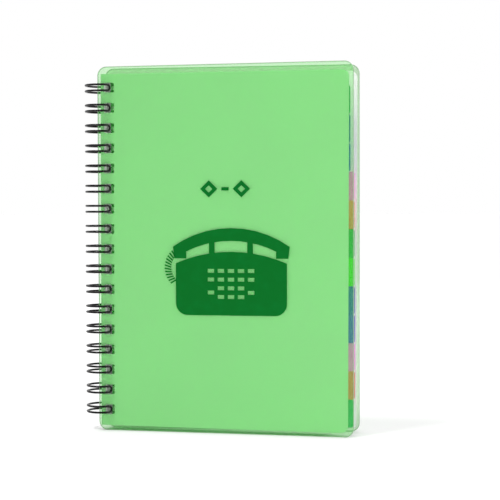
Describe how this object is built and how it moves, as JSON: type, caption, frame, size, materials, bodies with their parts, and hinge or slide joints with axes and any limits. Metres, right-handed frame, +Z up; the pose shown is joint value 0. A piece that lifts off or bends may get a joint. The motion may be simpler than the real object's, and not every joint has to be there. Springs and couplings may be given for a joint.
{
  "type": "address book",
  "caption": "Pocket address book with translucent covers, twin loop wire binding and coloured index tabs stepped down the fore edge.",
  "frame": {"origin": "middle of the bounding box at the foot, on the surface the book stands on", "axes": "+Z up along the spine, -Y out of the front cover, -X towards the spine"},
  "size_m": [0.1154, 0.0176, 0.153],
  "materials": {
    "cover_film": "translucent frosted polypropylene sheet, 0.5 mm",
    "ink": "printed ink, satin",
    "coated_wire": "steel wire with a black nylon coat",
    "paper": "uncoated white paper",
    "tab_ab": "printed paper tab",
    "tab_cd": "printed paper tab",
    "tab_ef": "printed paper tab",
    "tab_gh": "printed paper tab",
    "tab_ij": "printed paper tab",
    "tab_kl": "printed paper tab",
    "tab_mn": "printed paper tab",
    "tab_op": "printed paper tab",
    "tab_qr": "printed paper tab",
    "tab_st": "printed paper tab",
    "tab_uv": "printed paper tab",
    "tab_wxyz": "printed paper tab"
  },
  "bodies": {
    "pages_and_wire": {"wire_binding": "coated_wire", "first_sheet": "paper", "page_block": "paper", "last_sheet": "paper", "index_tab_ab": "tab_ab", "index_tab_cd": "tab_cd", "index_tab_ef": "tab_ef", "index_tab_gh": "tab_gh", "index_tab_ij": "tab_ij", "index_tab_kl": "tab_kl", "index_tab_mn": "tab_mn", "index_tab_op": "tab_op", "index_tab_qr": "tab_qr", "index_tab_st": "tab_st", "index_tab_uv": "tab_uv", "index_tab_wxyz": "tab_wxyz"},
    "front_cover_body": {"front_cover": "cover_film", "telephone_print": "ink"},
    "back_cover_body": {"back_cover": "cover_film"}
  },
  "joints": [
    {"name": "front_cover_hinge", "type": "hinge", "parent": "pages_and_wire", "child": "front_cover_body", "pos_m": [-0.05103, -0.00218, 0.0765], "axis": [0, 0, -1], "range_deg": [0, 125]},
    {"name": "back_cover_hinge", "type": "hinge", "parent": "pages_and_wire", "child": "back_cover_body", "pos_m": [-0.05103, -0.00218, 0.0765], "axis": [0, 0, 1], "range_deg": [-3.4, 55]}
  ]
}
